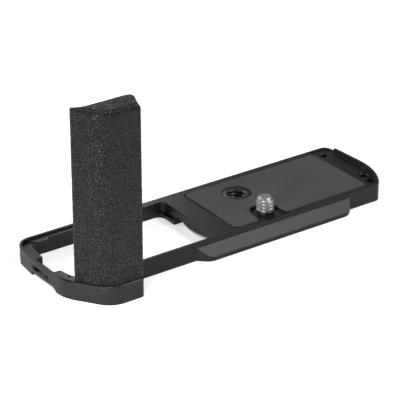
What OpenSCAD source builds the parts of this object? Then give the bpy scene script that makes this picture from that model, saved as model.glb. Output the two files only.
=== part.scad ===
// L-shaped handle for a small camera: a machined base plate that is screwed under the
// camera, with an upright leather-covered grip at its left end.
// Lengths are in millimetres. Places in the plan are given from the axis of the camera
// screw, X to the right and Y to the back. The finished part stands on Z = 0, with its
// origin under the middle of its outer box.

/* [Plate] */
// Reach of the plate to the right of the camera screw
plate_right = 52; // [50:0.5:60]
// Reach of the plate to the left of the camera screw
plate_left = 86.3; // [84:0.1:96]
// Distance from the camera screw back to the rear edge
plate_back = 29.8; // [29:0.1:34]
// Distance from the camera screw forward to the front wall
plate_front = 8; // [7.6:0.1:9]
// Height of the foot and of the high rim
plate_h = 6.85; // [6.6:0.05:7.6]
// Height of the plate's floor
floor_h = 5.65; // [5.5:0.05:6]
// Height of the low rim
low_rim_h = 6.35; // [6.25:0.05:6.55]
// Thickness of the rim
rim_t = 0.94; // [0.7:0.02:1.3]
// Distance of the high rim's rear end behind the camera screw
rim_end_y = 24.4; // [20:0.1:26]
// Radius of the rear left corner
rear_left_r = 6; // [3:0.5:9]
// Radius of the rear right corner
rear_right_r = 3; // [1:0.5:4]
// Radius of the long curve of the right end
end_r = 26.3; // [20:0.1:26.3]
// Radius of the bulge of the left side
left_r = 60; // [30:1:70]
// Height of the lower floor at both ends of the plate
end_floor = 5.25; // [5:0.05:5.4]

/* [Foot] */
// Distance from the camera screw forward to the front of the foot
foot_front = 18.35; // [17:0.05:21]
// Distance from the left end to the foot's front right corner
foot_w = 22.9; // [21.5:0.1:26]
// Distance from the left end to the foot's front left corner
foot_nose = 10.5; // [9.5:0.1:11.5]
// Slant of the foot's left side
foot_slant = 35; // [32:1:38]
// Radius of the foot's front left corner
foot_front_r = 9; // [6:0.5:10]
// Radius where the foot runs into the left side
foot_side_r = 12; // [8:0.5:14]
// Chamfer of the foot's top edge
foot_chamfer = 0.45; // [0.2:0.05:0.8]

/* [Battery opening] */
// Distance from the camera screw to the right wall of the opening
opening_right = 25.05; // [24.6:0.05:28]
// Thickness of the rear wall
rear_wall = 2.9; // [2.6:0.1:4]
// Depth of the step in the rear left corner of the opening
corner_ledge = 1.3; // [0.8:0.1:2.2]
// Distance from the left end to the end of that step
ledge_w = 12.6; // [11:0.1:15]
// Thickness of that step's ledge
ledge_t = 1.6; // [1.2:0.1:2.5]
// Width of the ledge at the left end
left_ledge = 4.7; // [4.2:0.1:6]
// Thickness of the front rail below the rim
rail_t = 2.7; // [1.5:0.1:3]
// Reach of the low lip on the right wall of the opening
lip_reach = 1.05; // [0.5:0.05:2]
// Height of that lip
lip_h = 1.5; // [1:0.1:1.8]

/* [Strap slot] */
// Distance of the strap pocket's rear end behind the camera screw
strap_back = 16.3; // [15:0.1:18]
// Distance of the strap pocket's front end behind the camera screw
strap_front = 2.5; // [1.5:0.1:4]
// Height of the strap bar's underside
bar_z = 1.4; // [1:0.1:1.6]
// Thickness of the strap bar
bar_t = 1.3; // [1.1:0.1:1.5]
// Height of the strap slot
slot_h = 1.7; // [1.2:0.1:1.8]

/* [Dovetail] */
// Width across the two dovetail edges
dovetail_w = 38; // [38:0.1:39]
// Height of the dovetail's edge
dovetail_edge = 1.4; // [0.8:0.1:2]
// Length of the front dovetail edge
dovetail_l = 60.5; // [54:0.5:64]
// Sideways place of the dovetail's middle
dovetail_x = -1.35; // [-3:0.05:0]
// Height of the groove under the rear edge
groove_h = 3.5; // [2.5:0.1:3.8]

/* [Floor pad] */
// Distance from the camera screw to the pad's left edge
pad_left = 16.3; // [13:0.1:20]
// Distance from the camera screw to the pad's right edge
pad_right = 42.4; // [40:0.1:42.6]
// Distance from the camera screw to the pad's front edge
pad_front = 5; // [4.4:0.1:5.6]
// Width of the floor behind the pad
pad_margin = 3; // [2.5:0.1:4]
// Height of the pad's top
pad_top = 5.95; // [5.8:0.05:6.4]
// Height of the pocket floor under the pad
pad_floor = 5; // [4.8:0.05:5.2]
// Gap around the pad
pad_gap = 0.4; // [0.2:0.05:0.6]
// Corner radius of the pad
pad_r = 2; // [1:0.1:3]

/* [Camera screw] */
// Major diameter of the camera screw, a 1/4 inch by 20 thread
screw_d = 6.35; // [6:0.05:6.5]
// Height of the screw's tip
screw_top = 11.5; // [10.5:0.1:13]
// Height at which the thread starts
thread_z = 6.9; // [6.8:0.1:7.5]
// Diameter of the plain neck
neck_d = 4.9; // [4.6:0.05:5]
// Radial clearance of the neck in its web
neck_clearance = 0.08; // [0.04:0.01:0.1]
// Diameter of the screw's head
head_d = 9; // [8:0.1:9.2]
// Thickness of the screw's head
head_t = 2; // [1.6:0.1:2.2]
// Thickness of the web that holds the screw
web_t = 1.6; // [1.3:0.1:1.9]
// Lift of the captive screw
screw_lift = 0.8; // [0.5:0.1:0.9]
// Radius of the pocket around the screw
pocket_r = 5.2; // [4.8:0.1:5.6]
// Width of the pocket at its open front
pocket_w = 12; // [11:0.1:13]
// Outer diameter of the retaining ring
ring_d = 6.4; // [6:0.1:7.4]
// Thickness of the retaining ring
ring_t = 1; // [0.5:0.1:1]

/* [Tripod insert] */
// Distance of the tripod insert behind the camera screw
insert_y = 17; // [16.4:0.1:17.5]
// Diameter of the insert's flange
flange_d = 10.4; // [9.8:0.1:11]
// Diameter of the insert's barrel
barrel_d = 8.8; // [8:0.1:9.2]
// Thickness of the insert's flange
flange_t = 1.2; // [0.8:0.1:1.6]
// Height of the insert's top
insert_top = 5.6; // [5.35:0.05:5.7]
// Diameter of the threaded bore, a 1/4 inch by 20 thread
insert_bore = 5.2; // [5:0.05:5.4]

/* [End holes] */
// Distance from the right edge to the rear tapped hole
hole_a_x = 6.1; // [5.4:0.1:6.6]
// Distance from the rear edge to the rear tapped hole
hole_a_y = 5.3; // [4:0.1:6.5]
// Diameter of the rear tapped hole
hole_a_d = 2.5; // [2:0.1:3]
// Distance from the right edge to the front tapped hole
hole_b_x = 4.6; // [4.2:0.1:6]
// Distance from the front wall to the front tapped hole
hole_b_y = 11; // [10:0.1:13]
// Diameter of the front tapped hole
hole_b_d = 2.8; // [2:0.1:3]
// Distance from the right edge to the blind pocket
hole_c_x = 5.7; // [5.6:0.1:6.5]
// Distance from the front wall to the blind pocket
hole_c_y = 6; // [5.6:0.1:7]
// Diameter of the blind pocket
hole_c_d = 3; // [2:0.1:3.2]

/* [Grip] */
// Height of the grip's top
grip_top = 68.3; // [50:0.1:90]
// Step between the foot and the grip at the front and on the left
grip_step = 1.2; // [0.8:0.05:1.6]
// Step between the foot and the grip on the right
grip_side_step = 0.2; // [0:0.05:0.4]
// Thickness of the leather cover
cover_t = 1.2; // [0.9:0.1:1.6]
// Radius of the grip's top edge
grip_edge_r = 1.3; // [0.8:0.1:1.8]
// Length of the hollow lip at the grip's rear left edge
thumb_l = 3.15; // [2.5:0.05:4]
// Depth of that lip behind the grip's rear face
thumb_d = 1.8; // [1.2:0.05:2.2]
// Diameter of the two screws that hold the grip
grip_screw_d = 3; // [2.5:0.1:3.5]
// Distance between the two screws
grip_screw_gap = 9; // [7:0.1:9.5]

/* [Driver key] */
// Width of the key's handle
key_w = 21.2; // [18:0.1:21.4]
// Radius of the key's round end
key_end_r = 22; // [18:0.5:26]
// How far the key stands out into the battery opening
key_reach = 1.05; // [0.5:0.05:1.6]
// Thickness of the key
key_t = 0.6; // [0.5:0.05:1]
// Width of the key's blade
blade_w = 3.4; // [2.5:0.1:3.4]
// Distance of the key's centre line behind the camera screw
key_y = 7.5; // [7.5:0.05:8]
// Depth of the key's recess in the underside
recess_h = 2.5; // [2.2:0.1:2.6]
// Clearance around the key
key_gap = 0.4; // [0.3:0.05:0.4]
// Diameter of the two magnets that hold the key
magnet_d = 4; // [3:0.1:5]
// Thickness of the magnets
magnet_t = 1.2; // [0.8:0.1:1.4]

/* [Hidden] */

// Overlap of cutting bodies past the faces that they open
over = 1;
// Thin slab between which edges are rounded
slab = 0.01;
// Gap of parts that are pressed or glued in
seat_gap = 0.04;

metal = [0.23, 0.23, 0.24];
dark_metal = [0.16, 0.16, 0.17];
silicone = [0.3, 0.3, 0.3];
leather = [0.2, 0.2, 0.2];
steel = [0.75, 0.75, 0.76];

// Outlines. A corner is [x, y, radius], listed counter-clockwise; the arcs are true circles.
function unit(v) = v / norm(v);
function at(c, i) = let (k = (i + len(c)) % len(c)) [c[k][0], c[k][1]];
function to_last(c, i) = unit(at(c, i - 1) - at(c, i));
function to_next(c, i) = unit(at(c, i + 1) - at(c, i));
function half_angle(c, i) = acos(to_last(c, i) * to_next(c, i)) / 2;
function bisector(c, i) = unit(to_last(c, i) + to_next(c, i));
function outward(c, i) = cross(to_next(c, i), to_last(c, i)) > 0;
function setback(c, i) = c[i][2] / tan(half_angle(c, i));
function arc_centre(c, i) = at(c, i) + bisector(c, i) * c[i][2] / sin(half_angle(c, i));
function tangents(c, i) = [at(c, i) + to_last(c, i) * setback(c, i),
                           at(c, i) + to_next(c, i) * setback(c, i)];

// The same outline moved inward by d, or outward where d is negative
function inset(c, d) = [for (i = [0:len(c) - 1])
    let (s = outward(c, i) ? d : -d,
         p = at(c, i) + bisector(c, i) * s / sin(half_angle(c, i)))
    [p[0], p[1], c[i][2] > 0 ? max(c[i][2] - s, 0.05) : 0]];

// The arcs are drawn smaller by a few microns, so that each one meets its straight runs in a
// clear step and never in a rounding error. An outline for a hull has no such step.
arc_step = 0.003;

module corner_sector(c, i, step) {
    ends = tangents(c, i);
    intersection() {
        translate(arc_centre(c, i)) circle(r = c[i][2] - step, $fn = c[i][2] > 15 ? 360 : 72);
        polygon([arc_centre(c, i), ends[0], at(c, i), ends[1]]);
    }
}

module outline(c, step = arc_step) {
    difference() {
        union() {
            polygon([for (i = [0:len(c) - 1]) each c[i][2] > 0 ? tangents(c, i) : [at(c, i)]]);
            for (i = [0:len(c) - 1])
                if (c[i][2] > 0 && outward(c, i)) corner_sector(c, i, step);
        }
        for (i = [0:len(c) - 1])
            if (c[i][2] > 0 && !outward(c, i)) corner_sector(c, i, step);
    }
}

// Moves the children from the camera screw's axis to the middle of the outer box
module place() {
    translate([(plate_left - plate_right) / 2, (foot_front - plate_back) / 2, 0]) children();
}

// X of a place given from the left end of the plate
function left(d) = d - plate_left;

// The plate with its foot, seen from above. The straight runs of the left side would meet a
// little outside the bulge, and the right end tapers towards the back.
bulge_y = 13.2;
bulge_out = 0.16;
rear_left_in = 1.7;
foot_side_in = 0.5;
foot_side_y = (foot_nose - foot_side_in) / tan(foot_slant) - foot_front;
foot_right_r = 1.8;
foot_back_in = 3.4;
end_taper = 0.95;
end_out = 0.44;
end_y = 0.72;
end_cut = 6.6;
end_corner_r = 2.4;
plate_corners = [
    [plate_right - end_taper, plate_back, rear_right_r],
    [left(rear_left_in), plate_back, rear_left_r],
    [left(-bulge_out), bulge_y, left_r],
    [left(foot_side_in), foot_side_y, foot_side_r],
    [left(foot_nose), -foot_front, foot_front_r],
    [left(foot_w), -foot_front, foot_right_r],
    [left(foot_w + foot_back_in), -plate_front, 1.5],
    [plate_right - end_cut, -plate_front, end_corner_r],
    [plate_right + end_out, end_y, end_r]];

// Inner faces
front_inner = rim_t - plate_front;
rear_inner = plate_back - rear_wall;
ledge_front = rear_inner - corner_ledge;

// Inner face of the left wall
wall_corners = inset(plate_corners, rim_t);
function wall_x(i, y) = let (p = at(wall_corners, i), q = at(wall_corners, i + 1))
    p[0] + (y - p[1]) * (q[0] - p[0]) / (q[1] - p[1]);

// The opening for the battery door at one level: its right wall, the radius of the rear right
// corner and its front face. It takes in the strap pocket.
ledge_slope = 1.2;
ledge_r = 0.7;
inner_corner_r = 2.4;
nose_ledge = 3.2;
nose_ledge_w = 4.1;
nose_ledge_y = -2.7;
nose_ledge_r = 3;
foot_corner = 7.3;
foot_corner_r = 1.5;
front_corner_r = 2;
function opening_corners(right, r, front) = [
    [right, rear_inner, r],
    [left(left_ledge + ledge_slope), rear_inner, inner_corner_r],
    [left(left_ledge), strap_back, 0],
    [wall_x(1, strap_back), strap_back, 0],
    [wall_corners[2][0], wall_corners[2][1], wall_corners[2][2]],
    [wall_x(2, strap_front), strap_front, 0],
    [left(nose_ledge), strap_front, ledge_r],
    [left(nose_ledge_w), nose_ledge_y, nose_ledge_r],
    [left(foot_corner), front, foot_corner_r],
    [right, front, front_corner_r]];

// A ledge under the floor's height fills the rear left corner
module corner_ledge_block() {
    translate([0, 0, floor_h - ledge_t]) linear_extrude(plate_h)
        outline([[left(ledge_w), ledge_front, ledge_r],
                 [left(ledge_w + ledge_slope), rear_inner + over, 0],
                 [left(0), rear_inner + over, 0],
                 [left(0), ledge_front, 0]]);
}

// The lip on the right wall narrows the opening below, and the front rail up to the floor's height
opening_r = 1.75;
rail_inner = rail_t - plate_front;
module opening() {
    difference() {
        union() {
            translate([0, 0, -over]) linear_extrude(lip_h + over)
                outline(opening_corners(-opening_right - lip_reach, opening_r + lip_reach,
                                        rail_inner));
            translate([0, 0, lip_h]) linear_extrude(floor_h - lip_h)
                outline(opening_corners(-opening_right, opening_r, rail_inner));
            translate([0, 0, floor_h]) linear_extrude(plate_h - floor_h + over)
                outline(opening_corners(-opening_right, opening_r, front_inner));
        }
        corner_ledge_block();
    }
}

// The ledge at the left end is lower than the floor, with a slanted step beside the corner
left_step = 8.7;
left_step_lean = 0.9;
module left_recess() {
    translate([0, 0, end_floor]) linear_extrude(plate_h) intersection() {
        outline(inset(plate_corners, rim_t));
        polygon([[left(-over), strap_back - over],
                 [left(left_step + over * left_step_lean), strap_back - over],
                 [left(left_step + over * left_step_lean), ledge_front - over],
                 [left(left_step) - (plate_back - ledge_front) * left_step_lean, plate_back],
                 [left(-over), plate_back]]);
    }
}

// The rear left corner leans in towards its foot
corner_relief = 1;
corner_relief_h = 5.2;
module corner_lean() {
    centre = arc_centre(plate_corners, 1);
    out = at(plate_corners, 1) - centre;
    translate([centre[0], centre[1], 0]) rotate([0, 0, atan2(out[1], out[0])])
        translate([rear_left_r - corner_relief, 0, 0])
            rotate([0, atan2(corner_relief, corner_relief_h), 0])
                translate([0, -rear_left_r, -over]) cube([rear_left_r, 2 * rear_left_r, plate_h]);
}

// Cuts a 45 degree chamfer of width w at height z along the convex corners first to last of an
// outline and along the straight runs after them. The straight cuts overlap the round ones.
module chamfer_cut(c, w, z, first, last) {
    for (i = [first:last]) {
        centre = arc_centre(c, i);
        ends = tangents(c, i);
        r = c[i][2] - arc_step;
        run = tangents(c, i + 1)[0] - ends[1];
        intersection() {
            translate([centre[0], centre[1], 0]) rotate_extrude($fn = 180)
                polygon([[r - w - over, z + over], [r + over, z - w - over], [r + over, z + over]]);
            linear_extrude(z + 2 * over)
                polygon([centre, 2 * ends[0] - centre, 2 * at(c, i) - centre, 2 * ends[1] - centre]);
        }
        translate([ends[1][0], ends[1][1], 0]) rotate([0, 0, atan2(run[1], run[0])])
            translate([-w, 0, 0]) rotate([90, 0, 90])
                linear_extrude(norm(run) + w + (outward(c, i + 1) ? w : 0))
                    polygon([[-over, z - w - over], [w + over, z + over], [-over, z + over]]);
    }
}

// The raised block that carries the grip, with a chamfer round its top
module foot() {
    difference() {
        linear_extrude(plate_h) intersection() {
            outline(plate_corners);
            translate([left(-over), -foot_front - over])
                square([foot_w + foot_back_in + 3, foot_front + over + strap_front]);
        }
        chamfer_cut(plate_corners, foot_chamfer, plate_h, 2, 5);
    }
}

// A stretch of the rim between two corners of its range
module rim(h, x0, x1, y0, y1) {
    intersection() {
        linear_extrude(h) difference() {
            outline(plate_corners);
            outline(inset(plate_corners, rim_t));
        }
        translate([x0, y0, 0]) cube([x1 - x0, y1 - y0, h]);
    }
}

// The low rim runs round the rear left corner and along the rear edge
low_rim_w = 36;

// The front rim is lower where the screw's pocket opens, with a ramp at its right end
dip_left = -13;
dip_right = 9.5;
dip_ramp = 0.8;
module rim_dip() {
    translate([0, front_inner + over / 2, 0]) rotate([90, 0, 0])
        linear_extrude(rim_t + over)
            polygon([[dip_left, low_rim_h], [dip_right, low_rim_h],
                     [dip_right + dip_ramp, plate_h], [dip_right + dip_ramp, plate_h + over],
                     [dip_left, plate_h + over]]);
}

// The front half of the dovetail: a flange with a 45 degree bevel and splayed ends
flange_front = plate_front + 3.5;
flange_rise = flange_front - plate_front;
module front_dovetail() {
    intersection() {
        translate([-dovetail_l, 0, 0]) rotate([90, 0, 90])
            linear_extrude(2 * dovetail_l)
                polygon([[-plate_front + rim_t / 2, 0], [-flange_front, 0],
                         [-flange_front, dovetail_edge],
                         [-plate_front, dovetail_edge + flange_rise],
                         [-plate_front + rim_t / 2, dovetail_edge + flange_rise]]);
        linear_extrude(plate_h)
            outline([[dovetail_x + dovetail_l / 2 + flange_rise, 0, 0],
                     [dovetail_x - dovetail_l / 2 - flange_rise, 0, 0],
                     [dovetail_x - dovetail_l / 2 - flange_rise, -plate_front, 0],
                     [dovetail_x - dovetail_l / 2, -flange_front, 5],
                     [dovetail_x + dovetail_l / 2, -flange_front, 5],
                     [dovetail_x + dovetail_l / 2 + flange_rise, -plate_front, 0]]);
    }
}

// The rear half of the dovetail is a groove under the rear edge
rear_lip = dovetail_w - flange_front;
groove_left = -21;
groove_right = 33;
module rear_dovetail() {
    translate([groove_left, 0, 0]) rotate([90, 0, 90])
        linear_extrude(groove_right - groove_left)
            polygon([[rear_lip, -over], [rear_lip, dovetail_edge],
                     [rear_lip - groove_h + dovetail_edge, groove_h],
                     [plate_back + over, groove_h], [plate_back + over, -over]]);
}

// The slot through the left wall, with a hollow run-out at each end, and the notch under its bar
slot_end = 8;
slot_start = 15;
scoop_l = 3.1;
scoop_rear_l = 0.9;
module strap_slot() {
    z = bar_z + bar_t + slot_h / 2;
    for (y = [slot_end + slot_h / 2, slot_start - slot_h / 2])
        translate([left(-over), y, z]) rotate([0, 90, 0])
            cylinder(d = slot_h, h = rim_t + 2 * over, $fn = 48);
    translate([left(-over), slot_end + slot_h / 2, z - slot_h / 2])
        cube([rim_t + 2 * over, slot_start - slot_end - slot_h, slot_h]);
    translate([0, 0, z - slot_h / 2 + 0.2]) linear_extrude(slot_h - 0.4)
        polygon([[left(-over), slot_end - scoop_l], [left(0.2), slot_end - scoop_l],
                 [left(rim_t), slot_end + slot_h / 2], [left(rim_t), slot_start - slot_h / 2],
                 [left(0.2), slot_start + scoop_rear_l], [left(-over), slot_start + scoop_rear_l]]);
}

// The strap goes in through the slot and out below, between the wall and this guard
guard_in = 2.4;
guard_t = 1;
guard_h = 4;
module strap_guard() {
    translate([left(guard_in), strap_front - over, 0])
        cube([guard_t, strap_back - strap_front + 2 * over, guard_h]);
}

notch_front = 0.75;
module strap_notch() {
    translate([left(-over), 0, 0]) rotate([90, 0, 90]) linear_extrude(guard_in + over)
        polygon([[strap_back - 0.3, -over], [strap_back - 0.3, bar_z], [strap_front + 0.3, bar_z],
                 [strap_front - 0.9, bar_z - 0.5], [notch_front, 0], [notch_front, -over]]);
}

// The pad with its notch for the screw's pocket and its hole for the tripod insert
pad_back = plate_back - pad_margin;
pad_chamfer = 1.3;
mouth_r = 1.2;
mouth_bend = 1.2;
module pad_plan() {
    difference() {
        outline([[pad_right, pad_back, pad_r],
                 [-pad_left, pad_back, pad_r],
                 [-pad_left, -pad_front, pad_r],
                 [-pocket_w / 2, -pad_front, mouth_r],
                 [-pocket_w / 2, -mouth_bend, 2 * mouth_r],
                 [-pocket_r + 0.6, pocket_r / 2.5, 0],
                 [pocket_r - 0.6, pocket_r / 2.5, 0],
                 [pocket_w / 2, -mouth_bend - 1, 2 * mouth_r],
                 [pocket_w / 2, -pad_front, mouth_r],
                 [pad_right - pad_chamfer, -pad_front, 0],
                 [pad_right, pad_chamfer - pad_front, 0]]);
        circle(r = pocket_r, $fn = 96);
        translate([0, insert_y]) circle(d = flange_d + 0.3, $fn = 96);
    }
}

module pad_recess() {
    translate([0, 0, pad_floor]) linear_extrude(over) {
        outline(inset([[pad_right, pad_back, pad_r], [-pad_left, pad_back, pad_r],
                       [-pad_left, -pad_front, pad_r], [pad_right, -pad_front, pad_r]],
                      -pad_gap));
        translate([-pocket_w / 2, front_inner]) square([pocket_w, pad_front]);
    }
}

module end_recess() {
    translate([0, 0, end_floor]) linear_extrude(over) intersection() {
        outline(inset(plate_corners, rim_t));
        translate([pad_right + pad_gap / 2, -plate_front])
            square([plate_right, plate_front + plate_back]);
    }
}

// Captive camera screw: tapped web between the pocket and the head's counterbore
head_gap = 0.3;
web_bottom = pad_floor - web_t;
head_top = web_bottom - screw_lift;
module screw_bore() {
    translate([0, 0, -over]) cylinder(d = neck_d + 2 * neck_clearance, h = plate_h, $fn = 64);
    translate([0, 0, -over]) cylinder(d = head_d + 2 * head_gap, h = web_bottom + over, $fn = 96);
}

// A small hole in the foot's ledge beside the battery opening
nose_hole_d = 1.1;
nose_hole_depth = 4;
nose_hole_in = 0.56;
module nose_hole() {
    corner = [left(nose_ledge_w), nose_ledge_y];
    out = unit(corner - [-opening_right, rear_inner]);
    translate([corner[0] + nose_hole_in * out[0], corner[1] + nose_hole_in * out[1],
               plate_h - nose_hole_depth])
        cylinder(d = nose_hole_d, h = nose_hole_depth + over, $fn = 48);
}

module insert_bores() {
    translate([0, insert_y, -over])
        cylinder(d = barrel_d + 2 * seat_gap, h = plate_h, $fn = 96);
    translate([0, insert_y, insert_top - flange_t - seat_gap])
        cylinder(d = flange_d + 2 * seat_gap, h = over + flange_t, $fn = 96);
}

module end_holes() {
    for (h = [[plate_right - hole_a_x, plate_back - hole_a_y, hole_a_d],
              [plate_right - hole_b_x, hole_b_y - plate_front, hole_b_d]])
        translate([h[0], h[1], 0]) {
            translate([0, 0, -over]) cylinder(d = h[2], h = plate_h + over, $fn = 48);
            translate([0, 0, end_floor - 0.4])
                cylinder(d1 = h[2], d2 = h[2] + 0.8 + over * 2, h = 0.4 + over, $fn = 48);
        }
    translate([plate_right - hole_c_x, hole_c_y - plate_front, end_floor - 0.7])
        cylinder(d = hole_c_d, h = over + 0.7, $fn = 48);
}

// Screws that hold the grip, driven up through the foot
grip_screw_x = left((foot_nose + foot_w) / 2);
grip_screw_y = (front_inner + grip_step - foot_front) / 2;
grip_head_t = 1.5;
grip_screw_reach = 9;
module at_grip_screws() {
    for (s = [-1, 1]) translate([grip_screw_x + s * grip_screw_gap / 2, grip_screw_y, 0]) children();
}

module grip_screw_holes() {
    at_grip_screws() {
        translate([0, 0, -over]) cylinder(d = grip_screw_d + 0.4, h = plate_h + 2 * over, $fn = 48);
        translate([0, 0, -over]) cylinder(d = 2 * grip_screw_d + 0.2, h = over + 0.3, $fn = 48);
        translate([0, 0, 0.3]) cylinder(d1 = 2 * grip_screw_d + 0.2, d2 = grip_screw_d + 0.2,
                                        h = grip_head_t, $fn = 48);
    }
}

// Outline of the driver key, seen from above: a round-ended handle and a flat blade
key_left = -opening_right - key_reach;
key_neck = -12.5;
key_shoulder = -8.5;
key_tip = 12;
function key_corners(d) = [
    [key_neck + d, key_y + key_w / 2 + d, 2.5],
    [key_left - d, key_y + key_w / 2 + d, 1.5],
    [key_left - d, key_y - key_w / 2 - d, 1.5],
    [key_neck + d, key_y - key_w / 2 - d, 2.5],
    [key_shoulder + d, key_y - blade_w / 2 - d, 1.5],
    [key_tip + d, key_y - blade_w / 2 - d, 0],
    [key_tip + d, key_y + blade_w / 2 + d, 0],
    [key_shoulder + d, key_y + blade_w / 2 + d, 1.5]];

module key_plan(d) {
    intersection() {
        outline(key_corners(d));
        union() {
            translate([key_left + key_end_r, key_y]) circle(r = key_end_r + d, $fn = 180);
            translate([key_left + key_end_r, key_y - key_w]) square(2 * key_w);
        }
    }
}

module key_recess() {
    translate([0, 0, -over]) linear_extrude(recess_h + over) {
        key_plan(key_gap);
        translate([key_left - 2 * over, key_y - key_w / 2 - key_gap])
            square([6, key_w + 2 * key_gap]);
    }
}

magnet_x = -21;
magnet_spread = 6.2;
module at_magnets() {
    for (s = [-1, 1]) translate([magnet_x, key_y + s * magnet_spread, recess_h]) children();
}

module base_plate() {
    color(metal) place() difference() {
        union() {
            difference() {
                union() {
                    linear_extrude(floor_h) outline(plate_corners);
                    rim(plate_h, left(foot_w), plate_right + over, -foot_front, rim_end_y);
                    rim(low_rim_h, left(-over), left(low_rim_w), strap_front - over,
                        plate_back + over);
                    foot();
                    front_dovetail();
                }
                opening();
            }
            strap_guard();
        }
        rear_dovetail();
        left_recess();
        corner_lean();
        strap_notch();
        strap_slot();
        rim_dip();
        pad_recess();
        end_recess();
        screw_bore();
        insert_bores();
        nose_hole();
        end_holes();
        grip_screw_holes();
        key_recess();
        at_magnets() cylinder(d = magnet_d + 2 * seat_gap, h = magnet_t + seat_gap, $fn = 48);
    }
}

module floor_pad() {
    color(silicone) place() translate([0, 0, pad_floor])
        linear_extrude(pad_top - pad_floor) pad_plan();
}

// The screw is one turned piece: slotted head, plain neck, threaded shank with a lead-in
lead_in = 0.9;
module camera_screw() {
    color(steel) place() difference() {
        rotate_extrude($fn = 96)
            polygon([[0, head_top - head_t], [head_d / 2 - 0.3, head_top - head_t],
                     [head_d / 2, head_top - head_t + 0.3], [head_d / 2, head_top],
                     [neck_d / 2, head_top], [neck_d / 2, thread_z],
                     [screw_d / 2 - 0.3, thread_z], [screw_d / 2, thread_z + 0.3],
                     [screw_d / 2, screw_top - lead_in],
                     [screw_d / 3, screw_top], [0, screw_top]]);
        translate([-head_d / 2 - over, -0.7, head_top - head_t - over])
            cube([head_d + 2 * over, 1.4, over + head_t / 2]);
    }
}

module screw_collar() {
    color(dark_metal) place() translate([0, 0, pad_floor]) difference() {
        cylinder(d = ring_d, h = ring_t, $fn = 96);
        translate([0, 0, -over])
            cylinder(d = neck_d + 2 * neck_clearance, h = ring_t + 2 * over, $fn = 64);
    }
}

module tripod_insert() {
    color(dark_metal) place() translate([0, insert_y, 0]) rotate_extrude($fn = 96)
        polygon([[insert_bore / 2, 0.2], [barrel_d / 2, 0.2],
                 [barrel_d / 2, insert_top - flange_t], [flange_d / 2, insert_top - flange_t],
                 [flange_d / 2, insert_top], [insert_bore / 2 + 0.6, insert_top],
                 [insert_bore / 2, insert_top - 0.6]]);
}

// The grip, seen from above: the outline follows the foot, with a thumb lip at the rear left
rear_face = front_inner;
tip_y = rear_face + thumb_d;
slant_in = grip_step / cos(foot_slant);
function slant_x(y) = left(foot_nose) - (y + foot_front) * tan(foot_slant) + slant_in;
function side_x(y) = left(foot_w) + (y + foot_front) * foot_back_in / (foot_front - plate_front)
    - grip_side_step;
grip_front = grip_step - foot_front;
grip_corners = [
    [side_x(tip_y), tip_y, 1],
    [slant_x(tip_y), tip_y, 0.8],
    [slant_x(grip_front), grip_front, foot_front_r - grip_step],
    [side_x(grip_front), grip_front, 1]];

// The hollow behind the rear face: flat, and curved out to the tip of the lip
thumb_r = (thumb_l * thumb_l + thumb_d * thumb_d) / (2 * thumb_d);
thumb_x = slant_x(tip_y) + 1.6 + thumb_l;
module behind_grip(d) {
    translate([thumb_x, rear_face - d]) square([foot_w, thumb_d + over + d]);
    translate([thumb_x, rear_face + thumb_r]) circle(r = thumb_r + d, $fn = 96);
    translate([thumb_x, rear_face + thumb_r - d]) square([foot_w, thumb_r]);
}

module grip_body() {
    difference() {
        hull() {
            translate([0, 0, plate_h]) linear_extrude(slab) outline(grip_corners, 0);
            for (a = [0:22.5:90])
                translate([0, 0, grip_top - slab - grip_edge_r * (1 - sin(a))])
                    linear_extrude(slab)
                        outline(inset(grip_corners, grip_edge_r * (1 - cos(a))), 0);
        }
        translate([0, 0, plate_h - over]) linear_extrude(grip_top) behind_grip(0);
    }
}

// A crease where the leather turns over the front edge of the top
crease_in = 1.9;
crease_w = 0.6;
crease_d = 0.4;
module top_crease() {
    translate([0, 0, grip_top - crease_d]) linear_extrude(over) intersection() {
        difference() {
            outline(inset(grip_corners, crease_in));
            outline(inset(grip_corners, crease_in + crease_w));
        }
        translate([left(0), -foot_front]) square([foot_w + foot_back_in, foot_front - plate_front]);
    }
}

core_top = grip_top - cover_t - seat_gap;
module core_plan(gap) {
    difference() {
        outline(inset(grip_corners, cover_t + seat_gap - gap));
        behind_grip(cover_t + seat_gap - gap);
    }
}

module grip_core() {
    color(metal) place() difference() {
        translate([0, 0, plate_h]) linear_extrude(core_top - plate_h) core_plan(0);
        at_grip_screws()
            cylinder(d = grip_screw_d + 2 * seat_gap, h = plate_h + grip_screw_reach + over,
                     $fn = 48);
    }
}

module grip_cover() {
    color(leather) place() difference() {
        grip_body();
        translate([0, 0, plate_h - over])
            linear_extrude(core_top - plate_h + seat_gap + over) core_plan(seat_gap);
        top_crease();
    }
}

module grip_screws() {
    color(steel) place() at_grip_screws() {
        translate([0, 0, 0.3]) cylinder(d1 = 2 * grip_screw_d, d2 = grip_screw_d,
                                        h = grip_head_t, $fn = 48);
        translate([0, 0, 0.3]) cylinder(d = grip_screw_d, h = plate_h + grip_screw_reach, $fn = 48);
    }
}

// The key's handle has a long hole for a cord
cord_hole_x = -16.6;
cord_hole_d = 3.2;
cord_hole_l = 6;
module driver_key() {
    color(steel) place() translate([0, 0, recess_h - seat_gap - key_t])
        linear_extrude(key_t) difference() {
            key_plan(0);
            for (s = [-1, 1]) translate([cord_hole_x, key_y + s * cord_hole_l / 2])
                circle(d = cord_hole_d, $fn = 48);
            translate([cord_hole_x - cord_hole_d / 2, key_y - cord_hole_l / 2])
                square([cord_hole_d, cord_hole_l]);
        }
}

module key_magnets() {
    color(steel) place() at_magnets()
        cylinder(d = magnet_d, h = magnet_t, $fn = 48);
}

base_plate();
floor_pad();
camera_screw();
screw_collar();
tripod_insert();
grip_core();
grip_cover();
grip_screws();
driver_key();
key_magnets();
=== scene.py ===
"""The finish of the L-shaped camera handle: leather, pad, threads, metal, camera and light."""

import math

import bpy
import numpy as np
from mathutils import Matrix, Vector
from mathutils.geometry import tessellate_polygon


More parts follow.
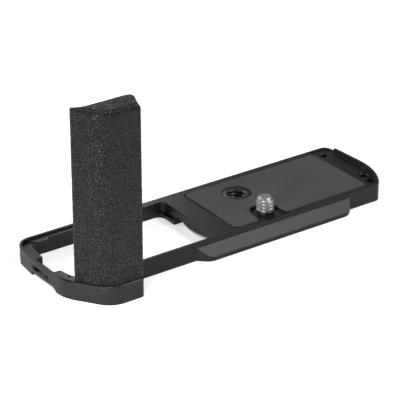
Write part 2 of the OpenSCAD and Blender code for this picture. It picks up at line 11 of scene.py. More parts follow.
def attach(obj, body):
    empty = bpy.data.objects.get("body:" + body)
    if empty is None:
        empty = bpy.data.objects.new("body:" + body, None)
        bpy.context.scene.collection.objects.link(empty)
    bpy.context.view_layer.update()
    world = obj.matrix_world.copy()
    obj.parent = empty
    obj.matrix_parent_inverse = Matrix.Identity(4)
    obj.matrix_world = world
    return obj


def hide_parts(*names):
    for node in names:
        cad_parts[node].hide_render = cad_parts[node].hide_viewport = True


MM = 0.001

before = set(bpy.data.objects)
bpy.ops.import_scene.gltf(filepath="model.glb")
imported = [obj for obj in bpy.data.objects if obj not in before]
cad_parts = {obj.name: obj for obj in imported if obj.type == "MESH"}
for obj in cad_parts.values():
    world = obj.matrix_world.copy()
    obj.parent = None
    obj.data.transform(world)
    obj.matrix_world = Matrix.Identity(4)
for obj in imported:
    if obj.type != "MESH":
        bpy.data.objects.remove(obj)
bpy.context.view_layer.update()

# Places measured from the camera screw's axis move by this much into the frame, in millimetres
SCREW_X = 17.15
SCREW_Y = -5.725

# The part's main sizes, in millimetres, as its solids have them
PLATE_LEFT = 86.3
PLATE_TOP = 6.85
FOOT_FRONT = 18.35
FOOT_W = 22.9
FOOT_NOSE = 10.5
FOOT_SLANT = math.radians(35)
FOOT_BACK_IN = 3.4
PLATE_FRONT = 8.0
RIM_T = 0.94
GRIP_TOP = 68.3
GRIP_STEP = 1.2
GRIP_SIDE_STEP = 0.2
THUMB_D = 1.8

# The leather stands this far out from its solid, and its slanted side swells by this much more
COVER_T = 0.3
SIDE_BULGE = 0.35

# One turn of a 1/4 inch by 20 thread
PITCH = 1.27

# Points on the arc of a rounded corner
ARC_POINTS = 14


def linear(hex_colour):
    """An sRGB colour such as #3a3a3c as opaque linear RGBA."""
    levels = [int(hex_colour[i:i + 2], 16) / 255 for i in (1, 3, 5)]
    return [v / 12.92 if v <= 0.04045 else ((v + 0.055) / 1.055) ** 2.4 for v in levels] + [1.0]


# Meshes

def make_mesh(name, points, faces, smooth=True):
    """An object from points in millimetres of the frame and a list of faces. Where it is smooth,
    its quads are shaded round, and its triangles and larger faces flat."""
    mesh = bpy.data.meshes.new(name)
    mesh.from_pydata((np.asarray(points, float) * MM).tolist(), [], faces)
    mesh.validate()
    mesh.polygons.foreach_set("use_smooth", [smooth and len(f.vertices) == 4
                                             for f in mesh.polygons])
    made = bpy.data.objects.new(name, mesh)
    bpy.context.scene.collection.objects.link(made)
    return made


def grid_faces(rows, columns, first=0):
    """Quads between neighbouring rows of a grid that goes round: its last column joins its
    first. The grid's points start at the index first."""
    r, c = np.meshgrid(np.arange(rows - 1), np.arange(columns), indexing="ij")
    after = (c + 1) % columns
    quads = np.stack([r * columns + c, r * columns + after,
                      (r + 1) * columns + after, (r + 1) * columns + c], axis=-1)
    return (quads.reshape(-1, 4) + first).tolist()


def arc(centre, radius, start, end, count):
    """Points of an arc between two angles in degrees."""
    t = np.radians(np.linspace(start, end, count))
    return np.stack([centre[0] + radius * np.cos(t), centre[1] + radius * np.sin(t)], axis=1)


def rounded(corners, count=ARC_POINTS):
    """A closed outline through corners [x, y, radius], each rounded by an arc of count points
    that touches both of its sides. A radius of 0 keeps the corner sharp."""
    made = []
    for i, (x, y, r) in enumerate(corners):
        p = np.array([x, y])
        last = np.array(corners[i - 1][:2]) - p
        following = np.array(corners[(i + 1) % len(corners)][:2]) - p
        last = last / np.linalg.norm(last)
        following = following / np.linalg.norm(following)
        half = math.acos(np.clip(last @ following, -1, 1)) / 2
        if r <= 0:
            made.append(p[None, :])
            continue
        middle = last + following
        centre = p + middle / np.linalg.norm(middle) * r / math.sin(half)
        a = p + last * r / math.tan(half) - centre
        b = p + following * r / math.tan(half) - centre
        from_angle = math.degrees(math.atan2(a[1], a[0]))
        turn = (math.degrees(math.atan2(b[1], b[0])) - from_angle + 180) % 360 - 180
        made.append(arc(centre, r, from_angle, from_angle + turn, count))
    return np.concatenate(made)


def spaced(run, count, endpoint=True):
    """A run of points as count points at even steps: up to its last point, or to one step
    before it where endpoint is false."""
    length = np.concatenate([[0], np.cumsum(np.linalg.norm(np.diff(run, axis=0), axis=1))])
    at = np.linspace(0, length[-1], count, endpoint=endpoint)
    return np.stack([np.interp(at, length, run[:, k]) for k in (0, 1)], axis=1)


def resampled(loop, step):
    """A closed outline at even steps of about that length."""
    closed = np.vstack([loop, loop[:1]])
    length = np.linalg.norm(np.diff(closed, axis=0), axis=1).sum()
    return spaced(closed, int(round(length / step)), False)


def normals_of(loop):
    """Outward normals of a counter-clockwise closed outline."""
    along = np.roll(loop, -1, axis=0) - np.roll(loop, 1, axis=0)
    along = along / np.linalg.norm(along, axis=1)[:, None]
    return np.stack([along[:, 1], -along[:, 0]], axis=1)


def smooth_loop(values, passes):
    """Values round a closed outline, each averaged with its neighbours a few times."""
    for _ in range(passes):
        values = (np.roll(values, 1, axis=0) + 2 * values + np.roll(values, -1, axis=0)) / 4
    return values


def hashed(i, j, k, seed):
    """Evenly spread numbers from 0 to 1, the same each time for the same whole-number place."""
    n = (i * 73856093) ^ (j * 19349663) ^ (k * 83492791) ^ (seed * 2654435761)
    n = (n ^ (n >> 13)) * 1274126177
    return ((n ^ (n >> 16)) & 0xFFFFFF) / float(0x1000000)


def waves(points, size, seed):
    """Smooth noise from -1 to 1: values at the corners of cells, blended between them."""
    q = points / size
    base = np.floor(q).astype(np.int64)
    f = q - base
    f = f * f * (3 - 2 * f)
    total = np.zeros(len(q))
    for di in (0, 1):
        for dj in (0, 1):
            for dk in (0, 1):
                i, j, k = (base + np.array([di, dj, dk])).T
                weight = (np.abs(1 - di - f[:, 0]) * np.abs(1 - dj - f[:, 1])
                          * np.abs(1 - dk - f[:, 2]))
                total += weight * hashed(i, j, k, seed)
    return 2 * total - 1


# Finishes

def add(tree, kind, links=None, **settings):
    """Adds a node, sets its sockets by name and its own properties, and joins its inputs."""
    made = tree.nodes.new(kind)
    for key, value in settings.items():
        if hasattr(made, key):
            setattr(made, key, value)
        else:
            made.inputs[key.replace("_", " ")].default_value = value
    for key, source in (links or {}).items():
        tree.links.new(source, made.inputs[key])
    return made


def finish_of(name, **settings):
    """A material with a Principled surface; returns the material, its tree and that node."""
    made = bpy.data.materials.new(name)
    made.use_nodes = True
    tree = made.node_tree
    surface = tree.nodes["Principled BSDF"]
    for key, value in settings.items():
        surface.inputs[key.replace("_", " ")].default_value = value
    return made, tree, surface


def scale_for(size):
    """The scale at which a pattern on Object coordinates has cells of that size in millimetres."""
    return 1 / (size * MM)


def anodised_aluminium():
    """Black anodised aluminium, bead blasted: a dyed oxide skin, so it is dark with a soft
    sheen from its clear surface, and its deburred edges catch the light. The grit of about
    0.1 mm is drawn at 0.25 mm to show."""
    made, tree, surface = finish_of("anodised_aluminium_blasted", Metallic=0.0, Roughness=0.35,
                                    IOR=1.5, Specular_IOR_Level=0.23)
    place = add(tree, "ShaderNodeTexCoord").outputs["Object"]
    grit = add(tree, "ShaderNodeTexNoise", {"Vector": place}, Scale=scale_for(0.25), Detail=2.0)
    cloud = add(tree, "ShaderNodeTexNoise", {"Vector": place}, Scale=scale_for(11.11), Detail=3.0)
    shade = add(tree, "ShaderNodeValToRGB", {"Fac": cloud.outputs["Fac"]})
    shade.color_ramp.elements[0].position = 0.35
    shade.color_ramp.elements[0].color = linear("#111112")
    shade.color_ramp.elements[1].position = 0.65
    shade.color_ramp.elements[1].color = linear("#151516")
    tree.links.new(shade.outputs["Color"], surface.inputs["Base Color"])
    gloss = add(tree, "ShaderNodeMapRange", {"Value": grit.outputs["Fac"]},
                To_Min=0.3, To_Max=0.4)
    tree.links.new(gloss.outputs["Result"], surface.inputs["Roughness"])
    edge = add(tree, "ShaderNodeBevel", Radius=0.34 * MM, samples=6)
    bump = add(tree, "ShaderNodeBump", {"Height": grit.outputs["Fac"],
                                        "Normal": edge.outputs["Normal"]},
               Strength=0.05, Distance=0.01 * MM)
    tree.links.new(bump.outputs["Normal"], surface.inputs["Normal"])
    return made


def silicone_rubber():
    """Moulded silicone sheet: matt, with the 0.3 mm texture of its mould, a little lighter than
    the metal."""
    made, tree, surface = finish_of("silicone_rubber_moulded", Metallic=0.0, Roughness=0.62,
                                    IOR=1.43)
    place = add(tree, "ShaderNodeTexCoord").outputs["Object"]
    grain = add(tree, "ShaderNodeTexNoise", {"Vector": place}, Scale=scale_for(0.3125), Detail=3.0)
    cloud = add(tree, "ShaderNodeTexNoise", {"Vector": place}, Scale=scale_for(16.67), Detail=2.0)
    shade = add(tree, "ShaderNodeValToRGB", {"Fac": cloud.outputs["Fac"]})
    shade.color_ramp.elements[0].position = 0.3
    shade.color_ramp.elements[0].color = linear("#444444")
    shade.color_ramp.elements[1].position = 0.7
    shade.color_ramp.elements[1].color = linear("#4a4a4a")
    tree.links.new(shade.outputs["Color"], surface.inputs["Base Color"])
    bump = add(tree, "ShaderNodeBump", {"Height": grain.outputs["Fac"]},
               Strength=0.3, Distance=0.02 * MM)
    tree.links.new(bump.outputs["Normal"], surface.inputs["Normal"])
    return made


def grained_leather():
    """Black grained leather: flat pebbles of about 1.2 mm by 0.7 mm that lie aslant, parted by
    thin creases that are matt and carry painted shade in their colour, so a low light catches the
    upper side of each. The creases wander, and fine pores lie over both."""
    made, tree, surface = finish_of("leather_black_grained", Metallic=0.0, Roughness=0.36,
                                    IOR=1.48, Specular_IOR_Level=0.26)
    slope = -0.85
    height_share = 0.55
    place = add(tree, "ShaderNodeTexCoord").outputs["Object"]
    along = add(tree, "ShaderNodeMapping", {"Vector": place}, vector_type="TEXTURE",
                Rotation=(0.0, slope, 0.0), Scale=(1.0, 1.0, height_share))
    place = along.outputs["Vector"]
    bend = add(tree, "ShaderNodeTexNoise", {"Vector": place}, Scale=scale_for(2), Detail=2.0)
    shift = add(tree, "ShaderNodeVectorMath", {0: bend.outputs["Color"]}, operation="SCALE",
                Scale=1.6 * MM)
    bent = add(tree, "ShaderNodeVectorMath", {0: place, 1: shift.outputs["Vector"]},
               operation="ADD")
    pebble = add(tree, "ShaderNodeTexVoronoi", {"Vector": bent.outputs["Vector"]},
                 feature="DISTANCE_TO_EDGE", Scale=scale_for(1.2195))
    crease = add(tree, "ShaderNodeMapRange", {"Value": pebble.outputs["Distance"]},
                 interpolation_type="SMOOTHSTEP", From_Max=0.22)
    fine = add(tree, "ShaderNodeTexNoise", {"Vector": place}, Scale=scale_for(0.5556), Detail=4.0)
    height = add(tree, "ShaderNodeMath", {0: fine.outputs["Fac"], 2: crease.outputs["Result"]},
                 operation="MULTIPLY_ADD")
    height.inputs[1].default_value = 0.1
    # The base colour is darker in the creases than on the pebbles: painted shade, standing in for
    # the shadow that falls into them
    shade = add(tree, "ShaderNodeValToRGB", {"Fac": crease.outputs["Result"]})
    shade.color_ramp.elements[0].color = linear("#050505")
    shade.color_ramp.elements[1].color = linear("#202021")
    tree.links.new(shade.outputs["Color"], surface.inputs["Base Color"])
    gloss = add(tree, "ShaderNodeMapRange", {"Value": crease.outputs["Result"]},
                To_Min=0.6, To_Max=0.36)
    tree.links.new(gloss.outputs["Result"], surface.inputs["Roughness"])
    bump = add(tree, "ShaderNodeBump", {"Height": height.outputs["Value"]},
               Strength=1.0, Distance=0.42 * MM)
    tree.links.new(bump.outputs["Normal"], surface.inputs["Normal"])
    return made


def turned_metal(name, colour, roughness):
    """Turned or stamped metal: the fine marks of its tool, about 0.4 mm apart, make its gloss
    uneven."""
    made, tree, surface = finish_of(name, Metallic=1.0, Roughness=roughness)
    surface.inputs["Base Color"].default_value = linear(colour)
    place = add(tree, "ShaderNodeTexCoord").outputs["Object"]
    marks = add(tree, "ShaderNodeTexNoise", {"Vector": place}, Scale=scale_for(0.3846), Detail=3.0)
    gloss = add(tree, "ShaderNodeMapRange", {"Value": marks.outputs["Fac"]},
                To_Min=roughness - 0.04, To_Max=roughness + 0.05)
    tree.links.new(gloss.outputs["Result"], surface.inputs["Roughness"])
    return made


def coat(target, material):
    """Gives an object one material all over."""
    target.data.materials.clear()
    target.data.materials.append(material)


# The leather grip

# Points along the grip's front run, and as many along its rear run
RUN_POINTS = 150

# Rows up the wall of the grip, over its top edge, and across its top
WALL_ROWS = 262
EDGE_ROWS = 12
TOP_ROWS = 64


def left(d):
    """The x, from the screw's axis, of a place that far from the plate's left end."""
    return d - PLATE_LEFT


def slant_x(y):
    """The x of the grip's slanted side at y."""
    return (left(FOOT_NOSE) - (y + FOOT_FRONT) * math.tan(FOOT_SLANT)
            + GRIP_STEP / math.cos(FOOT_SLANT))


def side_x(y):
    """The x of the grip's right side at y."""
    return (left(FOOT_W) + (y + FOOT_FRONT) * FOOT_BACK_IN / (FOOT_FRONT - PLATE_FRONT)
            - GRIP_SIDE_STEP)


def halves(loop, count):
    """A closed outline as two runs of count points each, from its leftmost to its rightmost
    point: first along the front, then along the rear. Both hold the two shared points."""
    west = int(np.argmin(loop[:, 0]))
    ring = np.roll(loop, -west, axis=0)
    east = int(np.argmax(ring[:, 0]))
    return [spaced(ring[:east + 1], count),
            spaced(np.vstack([ring[:1], ring[:east - 1:-1]]), count)]


def grip_outline():
    """The grip seen from above, counter-clockwise from its rear right corner: the rear face,
    the hollow curve out to the thumb lip, its tip, the slanted side, the big front corner, the
    front and the right side. The hollow is an arc that starts level with the rear face and
    turns by its sweep until it has risen by the lip's depth."""
    tip_w = 1.4
    tip_r = 1.1
    nose_r = 7.8
    side_r = 1.2
    rear_r = 1.5
    rear_in = 0.15
    sweep = 38.0
    rear = RIM_T - PLATE_FRONT
    tip = rear + THUMB_D
    front = GRIP_STEP - FOOT_FRONT
    radius = THUMB_D / (1 - math.cos(math.radians(sweep)))
    hollow_x = slant_x(tip) + tip_w + radius * math.sin(math.radians(sweep))
    # The first corner only gives the lip's rear side its direction, and is left out again
    lip = rounded([[side_x(tip), tip, 0], [slant_x(tip), tip, tip_r],
                   [slant_x(front), front, nose_r], [side_x(front), front, side_r]], 24)[1:]
    curve = arc((hollow_x, rear + radius), radius, -90, -90 - sweep, 16)
    corner = arc((side_x(rear) - rear_in - rear_r, rear - rear_r), rear_r, 0, 90, 12)
    return np.vstack([corner, curve, lip])


def swollen(outline):
    """The outline with its slanted side pushed out by half a sine wave along that side."""
    start = GRIP_STEP - FOOT_FRONT + 2.5
    length = 7.2
    past_nose = 1
    run = np.clip((outline[:, 1] - start) / length, 0, 1)
    in_front = np.arange(len(outline)) < RUN_POINTS
    on_side = in_front * (outline[:, 0] < left(FOOT_NOSE) + past_nose)
    bulge = SIDE_BULGE * np.sin(run * on_side * math.pi)
    return outline + normals_of(outline) * bulge[:, None]


def edge_radii(outline, out):
    """The radius that the cover is turned over at the top, for each point of the outline: the
    widest one, less where the outline bends more tightly than that, and a small one along the
    rear. Neighbouring points are blended."""
    widest = 1.3
    least = 0.45
    rear_r = 0.3
    share = 0.8
    bend = np.linalg.norm(np.roll(out, 2, axis=0) - np.roll(out, -2, axis=0), axis=1)
    step = np.linalg.norm(np.roll(outline, 2, axis=0) - np.roll(outline, -2, axis=0), axis=1)
    tight = np.clip(share * step / np.maximum(bend, 1e-6), least, widest)
    spread = np.min(np.stack([np.roll(tight, k) for k in range(-6, 7)]), axis=0)
    spread[RUN_POINTS + 8:-8] = rear_r
    return smooth_loop(spread, 30)


def folds(p, seed):
    """Wrinkles of leather from 0 in a crease to 1 on a fold, at two sizes in millimetres. A
    crease lies where smooth noise passes through 0. The larger ones run aslant, as on
    stretched hide, and slower waves bend both."""
    large_size = 1.5
    small_size = 0.8
    large_crease = 0.22
    small_crease = 0.25
    bend_size = 2.3
    bend_by = 0.7
    bent = p + bend_by * np.stack([waves(p, bend_size, seed + k) for k in (1, 2, 3)], axis=1)
    slant = bent * [1, 1, 0.5] + bent[:, [2]] * [-0.55, 0.55, 0]
    large = np.clip(np.abs(waves(slant, large_size, seed)) / large_crease, 0, 1)
    small = np.clip(np.abs(waves(bent, small_size, seed + 9)) / small_crease, 0, 1)
    return 0.65 * large + 0.35 * small


def relief_of(p, n, front):
    """How far the leather lies outside its smooth form at points with those normals. Folds and
    slow waves push it in. On the top, a seam follows the slanted side, the nose and the front
    past the right side, 1.5 mm inside them at the left and 2.3 mm at the right, and the band
    outside it is drawn smoother."""
    seed = 5
    fold_d = 0.09
    wave_d = 0.02
    wave_size = 2.6
    seam_d = 0.5
    seam_w = 0.2
    band_w = 1.5
    band_gain = 0.8
    band_start = left(2)
    band_l = 18
    smoothing = 0.75
    top_zone = 0.6
    level_enough = 0.85
    past_side = 2
    front_y = GRIP_STEP - FOOT_FRONT
    relief = fold_d * (folds(p, seed) - 1) + wave_d * waves(p, wave_size, seed) - wave_d
    on_top = p[:, 2] > GRIP_TOP - top_zone
    lead = front[front[:, 1] < front_y + 0.3]
    nose = front[:np.argmax(front[:, 1] < lead[0, 1] + 0.01)][::3]
    brow_x = np.linspace(lead[0, 0], side_x(lead[0, 1]) + past_side, 30)
    brow = np.stack([brow_x, np.full(len(brow_x), lead[:, 1].min())], axis=1)
    guide = np.vstack([nose, brow])
    away = np.min(np.linalg.norm(p[on_top, None, :2] - guide[None, :, :], axis=2), axis=1)
    along = np.clip((p[on_top, 0] - band_start) / band_l, 0, 1)
    inside = away - band_gain * along
    seam = np.exp(-((inside - band_w) / seam_w) ** 2) * (n[on_top, 2] > level_enough)
    band = inside < band_w - seam_w / 2
    relief[on_top] = relief[on_top] * (1 - smoothing * band) - seam_d * seam
    return relief


def cover_faces(around):
    """The faces of the cover: quads round the wall, quads across the top from the front run to
    the rear run, which narrow to triangles at its two ends, and one face below."""
    rows = WALL_ROWS + EDGE_ROWS - 1
    lines = TOP_ROWS - 2
    first = (rows - 1) * around
    index = np.empty((TOP_ROWS, RUN_POINTS), dtype=int)
    index[0] = first + np.arange(RUN_POINTS)
    index[-1] = first + np.concatenate([[0], np.arange(around - 1, RUN_POINTS - 2, -1)])
    index[1:-1, 1:-1] = rows * around + np.arange(lines * (RUN_POINTS - 2)).reshape(lines, -1)
    index[1:-1, 0] = index[0, 0]
    index[1:-1, -1] = index[0, -1]
    quads = np.stack([index[:-1, :-1], index[:-1, 1:], index[1:, 1:], index[1:, :-1]], axis=-1)
    faces = grid_faces(rows, around)
    faces += [list(dict.fromkeys(quad)) for quad in quads.reshape(-1, 4).tolist()]
    faces.append(list(range(around))[::-1])
    return faces


def leather_grip():
    """The cover is the outline carried up from the plate to the grip's top and turned over its
    edge by a quarter circle. A panel of rows that blend from the front run to the rear run
    closes it. Every point then moves along its normal by the leather's relief."""
    front, back = halves(grip_outline(), RUN_POINTS)
    outline = swollen(np.vstack([front, back[-2:0:-1]]))
    out = smooth_loop(normals_of(outline), 3)
    out = out / np.linalg.norm(out, axis=1)[:, None]
    edge_r = edge_radii(outline, out)
    rise = np.linspace(0, 1, WALL_ROWS)[:, None]
    turn = np.radians(np.linspace(0, 90, EDGE_ROWS)[1:])[:, None]
    tilt = np.vstack([np.zeros((WALL_ROWS, 1)), turn])
    wall_top = (GRIP_TOP - edge_r)[None, :]
    height = np.vstack([PLATE_TOP + (wall_top - PLATE_TOP) * rise,
                        wall_top + edge_r * np.sin(turn)])
    depth = edge_r * (1 - np.cos(tilt))
    flat = outline[None, :, :] + out[None, :, :] * (COVER_T - depth[:, :, None])
    wall = np.concatenate([flat, height[:, :, None]], axis=2)
    upward = np.broadcast_to(np.sin(tilt)[:, :, None], height.shape + (1,))
    wall_normal = np.concatenate([out[None, :, :] * np.cos(tilt)[:, :, None], upward], axis=2)
    ring = flat[-1]
    ring_front = ring[:RUN_POINTS]
    ring_back = np.vstack([ring[:1], ring[:RUN_POINTS - 2:-1]])
    share = np.linspace(0, 1, TOP_ROWS)[1:-1, None, None] ** 1.35
    panel = (ring_front[None, :, :] * (1 - share) + ring_back[None, :, :] * share)[:, 1:-1, :]
    level = np.full(panel.shape[:2] + (1,), GRIP_TOP)
    top = np.concatenate([panel, level], axis=2).reshape(-1, 3)
    p = np.vstack([wall.reshape(-1, 3), top])
    n = np.vstack([wall_normal.reshape(-1, 3), np.tile([0.0, 0.0, 1.0], (len(top), 1))])
    p = p + n * relief_of(p, n, front)[:, None] + np.array([SCREW_X, SCREW_Y, 0])
    return make_mesh("leather_grip", p, cover_faces(len(outline)))


# The floor pad

PAD_LEFT = 16.3
PAD_RIGHT = 42.4
PAD_FRONT = 5.0
PAD_BACK = 26.8
PAD_TOP = 5.95
PAD_FLOOR = 5.0
POCKET_R = 5.2
POCKET_W = 12.0
INSERT_Y = 17.0
FLANGE_D = 10.4


def pad_outline():
    """The pad seen from above, counter-clockwise from its rear right corner, with the notch
    round the camera screw: an arc of the pocket's radius with a mouth that opens to the front.
    The arc takes the place of the two sharp corners at its ends."""
    corner_r = 2
    cut = 1.3
    cut_r = 0.3
    lip_r = 1.2
    neck_r = 2.4
    neck_x = 4.75
    neck_y = 2.1
    arc_ends = (156, 24)
    left_neck_y = -1.2
    right_neck_y = -2.2
    mouth = POCKET_W / 2
    edge = rounded([[PAD_RIGHT, PAD_BACK, corner_r], [-PAD_LEFT, PAD_BACK, corner_r],
                    [-PAD_LEFT, -PAD_FRONT, corner_r], [-mouth, -PAD_FRONT, lip_r],
                    [-mouth, left_neck_y, neck_r], [-neck_x, neck_y, 0], [neck_x, neck_y, 0],
                    [mouth, right_neck_y, neck_r], [mouth, -PAD_FRONT, lip_r],
                    [PAD_RIGHT - cut, -PAD_FRONT, cut_r], [PAD_RIGHT, cut - PAD_FRONT, cut_r]])
    before = 5 * ARC_POINTS
    return np.vstack([edge[:before], arc((0, 0), POCKET_R, *arc_ends, 60), edge[before + 2:]])


def silicone_pad():
    """The sheet's walls and its rounded top edge are a profile carried round its outline and
    round its hole. The flat top and underside close it."""
    edge_r = 0.25
    hole_r = FLANGE_D / 2 + 0.15
    turn = np.radians(np.linspace(0, 90, 6))
    depth = np.concatenate([[0], edge_r * (1 - np.cos(turn))])
    height = np.concatenate([[PAD_FLOOR], PAD_TOP - edge_r + edge_r * np.sin(turn)])
    points = []
    faces = []
    undersides = []
    tops = []
    first = 0
    for loop in (resampled(pad_outline(), 0.3), arc((0, INSERT_Y), hole_r, 360, 0, 97)[:-1]):
        flat = loop[None, :, :] - normals_of(loop)[None, :, :] * depth[:, None, None]
        z = np.broadcast_to(height[:, None, None], flat.shape[:2] + (1,))
        grid = np.concatenate([flat, z], axis=2).reshape(-1, 3)
        points.append(grid)
        faces += grid_faces(len(height), len(loop), first)
        undersides.append(list(range(first, first + len(loop))))
        first += len(grid)
        tops.append(list(range(first - len(loop), first)))
    p = np.vstack(points) + np.array([SCREW_X, SCREW_Y, 0])
    for rings, upward in ((tops, True), (undersides, False)):
        order = [i for ring in rings for i in ring]
        for tri in tessellate_polygon([[Vector(p[i]) for i in ring] for ring in rings]):
            a, b, c = (order[i] for i in tri)
            turned_up = np.cross(p[b] - p[a], p[c] - p[a])[2] > 0
            faces.append([a, b, c] if turned_up == upward else [a, c, b])
    return make_mesh("silicone_pad", p, faces)


# Threads

def thread(phase, crest):
    """Depth of a 60 degree thread, 0 on the crest and 1 at the root, at a phase of one turn.
    crest is the share of a turn that stays flat on the crest, and root that at the root."""
    root = 0.18
    from_crest = np.abs((phase + 0.5) % 1 - 0.5) * 2
    return np.clip((from_crest - crest) / (1 - crest - root), 0, 1)


def carried_round(profile, count):
    """A profile of points [radius, height] carried round an upright axis: its radii and its
    heights, with a row for each point and a column for each of count angles, and those angles."""
    angle = np.linspace(0, 2 * math.pi, count, endpoint=False)
    r = np.repeat(profile[:, :1], count, axis=1)
    z = np.repeat(profile[:, 1:], count, axis=1)
    return r, z, angle


def round_piece(name, r, z, angle, centre, closing=()):
    """The mesh of such a grid about a centre, closed by a flat face at its first and its last
    row where closing gives the order of that face's points."""
    p = np.stack([r * np.cos(angle) + centre[0], r * np.sin(angle) + centre[1], z], axis=-1)
    rows, count = r.shape
    faces = grid_faces(rows, count)
    for row, order in zip((0, rows - 1), closing):
        faces.append(list(range(row * count, (row + 1) * count))[::order])
    return make_mesh(name, p.reshape(-1, 3), faces)


def threaded_screw():
    """The camera screw, a profile carried round its axis: the head, the plain neck and a shank
    with a bevelled tip. A helical thread of 1/4 inch by 20 is cut into the shank where height
    and angle are in phase, and fades out at both of its ends. The driver's slot is the head's
    lowest face, pressed up where it is nearer to a line across it than half the slot's width.
    The head's top is 0.04 mm lower than the solid's, so it stays clear of the web above it."""
    head_z = 0.6
    head_r = 4.5
    head_edge = 0.3
    head_top = 2.56
    slot_w = 1.4
    slot_d = 1.0
    slot_edge = 0.1
    neck_r = 2.45
    neck_top = 6.1
    collar_r = 2.6
    major = 3.175
    depth = 0.76
    crest = 0.1
    fade = 0.25
    thread_z = 6.35
    thread_start = thread_z - 0.1
    tip = 11.5
    thread_stop = tip - 0.35
    bevel = 1.15
    flat_r = 2.0
    axis_r = 0.05
    shank = np.linspace(thread_z, tip - 0.1, 120)
    lead = np.clip((shank - (tip - bevel)) / (bevel - 0.1), 0, 1) * bevel
    under = np.linspace(axis_r, head_r - head_edge, 45)
    profile = np.vstack([
        np.stack([under, np.full(len(under), head_z)], axis=1),
        [[head_r, head_z + head_edge], [head_r, head_top], [neck_r, head_top], [neck_r, neck_top],
         [collar_r, thread_start]],
        np.stack([major - lead, shank], axis=1),
        [[flat_r, tip - 0.04], [flat_r - 0.03, tip], [flat_r - 0.1, tip], [axis_r, tip]]])
    r, z, angle = carried_round(profile, 144)
    threaded = np.clip((z - thread_start) / fade, 0, 1) * np.clip((thread_stop - z) / fade, 0, 1)
    r = r - depth * thread(z / PITCH - angle[None, :] / (2 * math.pi), crest) * threaded
    aside = np.abs(r * np.sin(angle)[None, :])
    lowest = z < head_z + 0.01
    z = z + lowest * slot_d * np.clip((slot_w / 2 - aside) / slot_edge + 0.5, 0, 1)
    return round_piece("threaded_screw", r, z, angle, (SCREW_X, SCREW_Y), (-1, 1))


def threaded_insert():
    """The tripod insert, a closed profile carried round its axis: a flanged barrel with a bore,
    and a helical thread of 1/4 inch by 20 cut outwards from the bore."""
    foot_z = 0.2
    barrel_r = 4.4
    flange_r = FLANGE_D / 2
    flange_z = 4.4
    flange_top = 5.6
    mouth_r = 3.4
    bore_r = 2.62
    bore_foot_r = 2.7
    bore_z = 0.4
    bore_top = 4.9
    depth = 0.5
    crest = 0.2
    bore = np.linspace(bore_top, bore_z, 80)
    profile = np.vstack([
        [[bore_foot_r, foot_z], [barrel_r, foot_z], [barrel_r, flange_z],
         [flange_r - 0.2, flange_z], [flange_r, flange_z + 0.05], [flange_r, flange_top - 0.12],
         [flange_r - 0.1, flange_top], [mouth_r, flange_top], [mouth_r - 0.2, flange_top - 0.1]],
        np.stack([np.full(len(bore), bore_r), bore], axis=1),
        [[bore_foot_r, foot_z]]])
    r, z, angle = carried_round(profile, 120)
    threaded = ((r < bore_r + 0.03) * np.clip((z - bore_z) / 0.5, 0, 1)
                * np.clip((bore_top + 0.1 - z) / 0.4, 0, 1))
    r = r + depth * thread(z / PITCH - angle[None, :] / (2 * math.pi), crest) * threaded
    return round_piece("threaded_insert", r, z, angle, (SCREW_X, SCREW_Y + INSERT_Y))


# The pieces and what they are made of

ALUMINIUM = anodised_aluminium()
SILICONE = silicone_rubber()
LEATHER = grained_leather()
SCREW_STEEL = turned_metal("stainless_steel_turned", "#a8a8a7", 0.44)
RING_STEEL = turned_metal("steel_black_oxide", "#48484a", 0.4)
COLLAR_STEEL = turned_metal("steel_dark_zinc", "#6f6f70", 0.32)
KEY_STEEL = turned_metal("stainless_steel_stamped", "#8e8e8d", 0.38)
MAGNET = turned_metal("nickel_plated_magnet", "#a3a19c", 0.25)
CORE = turned_metal("aluminium_core", "#5a5a5c", 0.5)

grip = leather_grip()
coat(grip, LEATHER)
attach(grip, "plate")
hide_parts("grip_cover")

pad = silicone_pad()
coat(pad, SILICONE)
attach(pad, "plate")
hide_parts("floor_pad")

screw = threaded_screw()
coat(screw, SCREW_STEEL)
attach(screw, "screw")
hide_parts("camera_screw")

insert = threaded_insert()
coat(insert, RING_STEEL)
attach(insert, "plate")
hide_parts("tripod_insert")

for node_name, finish in {"base_plate": ALUMINIUM, "screw_collar": COLLAR_STEEL, "grip_core": CORE,
                          "grip_screws": RING_STEEL, "driver_key": KEY_STEEL,
                          "key_magnets": MAGNET}.items():
    coat(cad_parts[node_name], finish)


# Floor, light and camera

def studio_floor():
    """A flat floor three metres wide: white acrylic, lit from below as on a light table. It
    lies just under the handle, so the two are never in one plane."""
    reach = 1500
    level = -0.02
    made = make_mesh("studio_floor", [[-reach, -reach, level], [reach, -reach, level],
                                      [reach, reach, level], [-reach, reach, level]],
                     [[0, 1, 2, 3]], False)
    acrylic, _, surface = finish_of("acrylic_white_lit", Roughness=0.9)
    surface.inputs["Base Color"].default_value = linear("#e6e6e6")
    surface.inputs["Emission Color"].default_value = linear("#ffffff")
    surface.inputs["Emission Strength"].default_value = 0.55
    coat(made, acrylic)


def stood(name, data, place, direction):
    """A lamp or a camera at a place in metres, turned to look in a direction."""
    made = bpy.data.objects.new(name, data)
    bpy.context.scene.collection.objects.link(made)
    made.location = place
    made.rotation_mode = "QUATERNION"
    made.rotation_quaternion = direction.to_track_quat("-Z", "Y")
    return made


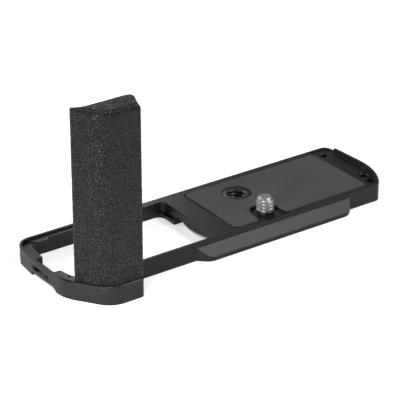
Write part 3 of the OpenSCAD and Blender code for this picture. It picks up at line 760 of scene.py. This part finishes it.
def soft_light(name, place, aim, size, power):
    """A square soft box of that width in metres, turned towards a point."""
    lamp = bpy.data.lights.new(name, "AREA")
    lamp.shape = "SQUARE"
    lamp.size = size
    lamp.energy = power
    stood(name, lamp, place, Vector(aim) - Vector(place))


def floor_spot(name, place, aim, width, power):
    """A spotlight that throws a soft pool of that width on the floor, for the wall of the foot
    and the grip to mirror."""
    direction = Vector(aim) - Vector(place)
    lamp = bpy.data.lights.new(name, "SPOT")
    lamp.energy = power
    lamp.spot_size = 2 * math.atan(width / 2 / direction.length)
    lamp.spot_blend = 0.5
    lamp.shadow_soft_size = 0.03
    stood(name, lamp, place, direction)


# Each soft box: its name, its place and its width in metres, and its power in watts
LIGHTS = [
    ("key_box", (0.5, -0.45, 0.8), 0.4, 5.3),
    ("low_front_box", (-0.85, -0.42, 0.12), 0.2, 11.5),
    ("left_box", (-0.45, 0.73, 0.52), 0.25, 3.0),
    ("back_box", (0.4, 0.62, 0.25), 0.3, 0.12),
    ("near_back_box", (0.09, 0.22, 0.15), 0.05, 0.06)]


def studio():
    """The floor, the lights, a pale room round them, and colours shown as they are."""
    studio_floor()
    for name, place, size, power in LIGHTS:
        soft_light(name, place, (0, 0, 0.015), size, power)
    floor_spot("floor_spot", (-0.4, -0.3, 1.3), (-0.1, -0.06, 0), 0.13, 102.0)
    world = bpy.data.worlds.new("pale_room")
    world.use_nodes = True
    world.node_tree.nodes["Background"].inputs["Color"].default_value = linear("#ffffff")
    world.node_tree.nodes["Background"].inputs["Strength"].default_value = 0.14
    bpy.context.scene.world = world
    bpy.context.scene.view_settings.view_transform = "Standard"


def camera():
    """The camera's place and direction come from the plate's straight edges in the picture."""
    azimuth = math.radians(-35.3)
    elevation = math.radians(26.5)
    place = (-0.36496, -0.505735, 0.32344)
    forward = Vector((-math.sin(azimuth) * math.cos(elevation),
                      math.cos(azimuth) * math.cos(elevation), -math.sin(elevation)))
    lens = bpy.data.cameras.new("camera")
    lens.lens = 180
    lens.sensor_width = 36
    bpy.context.scene.camera = stood("camera", lens, place, forward)


studio()
camera()
